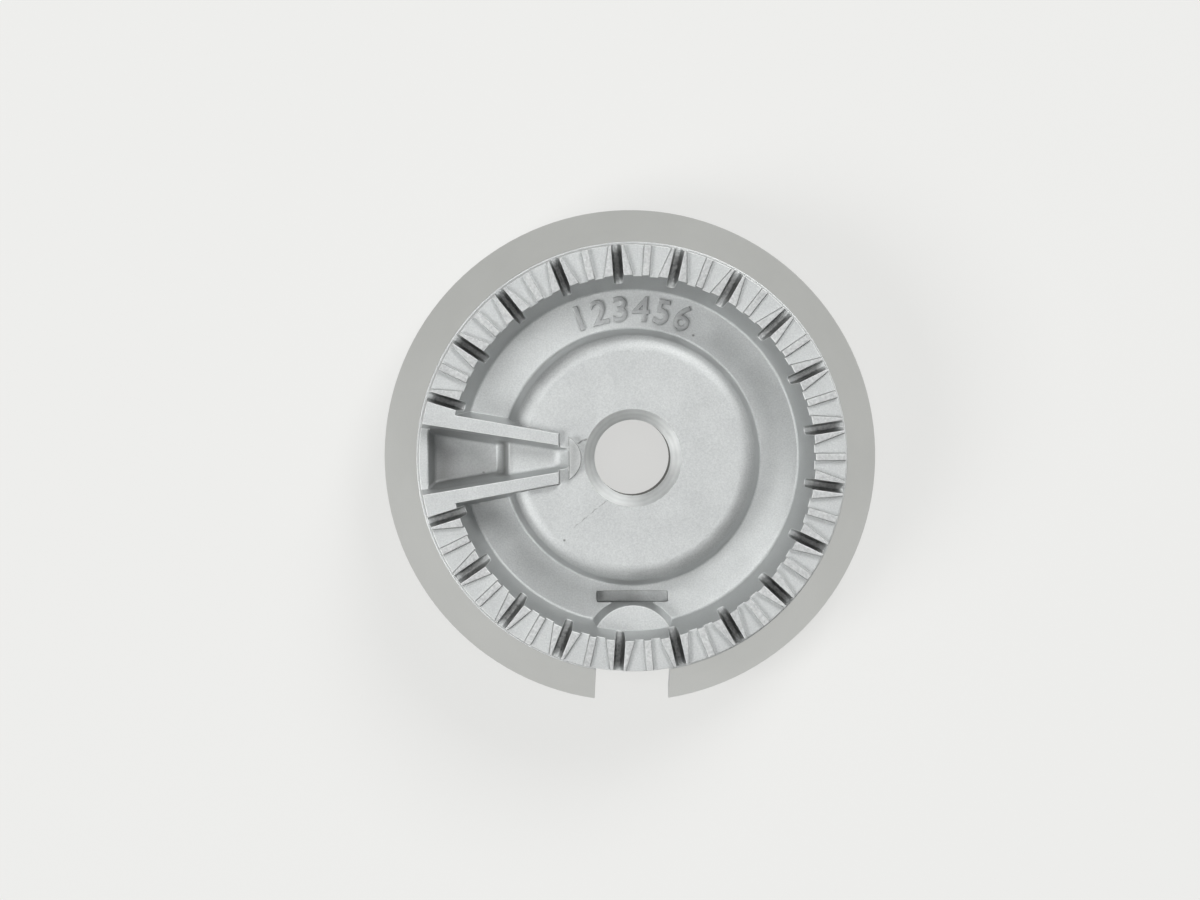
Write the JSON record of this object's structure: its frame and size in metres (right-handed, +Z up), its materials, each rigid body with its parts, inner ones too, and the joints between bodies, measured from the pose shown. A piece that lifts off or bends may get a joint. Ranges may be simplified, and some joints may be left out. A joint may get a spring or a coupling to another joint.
{
  "type": "gas burner head",
  "caption": "Round cast aluminium gas burner head with a slotted port ring, a conical skirt, a stability chamber, an electrode notch and a throat tube below.",
  "frame": {"origin": "on the axis of the gas throat, at the foot of the tube that the part stands on", "axes": "+Z up along the throat, stability chamber towards -X, electrode notch towards -Y"},
  "size_m": [0.0856, 0.0852, 0.028],
  "materials": {
    "cast_aluminium": "matte, fine grained as cast"
  },
  "bodies": {
    "root": {"burner_head": "cast_aluminium"}
  },
  "joints": []
}
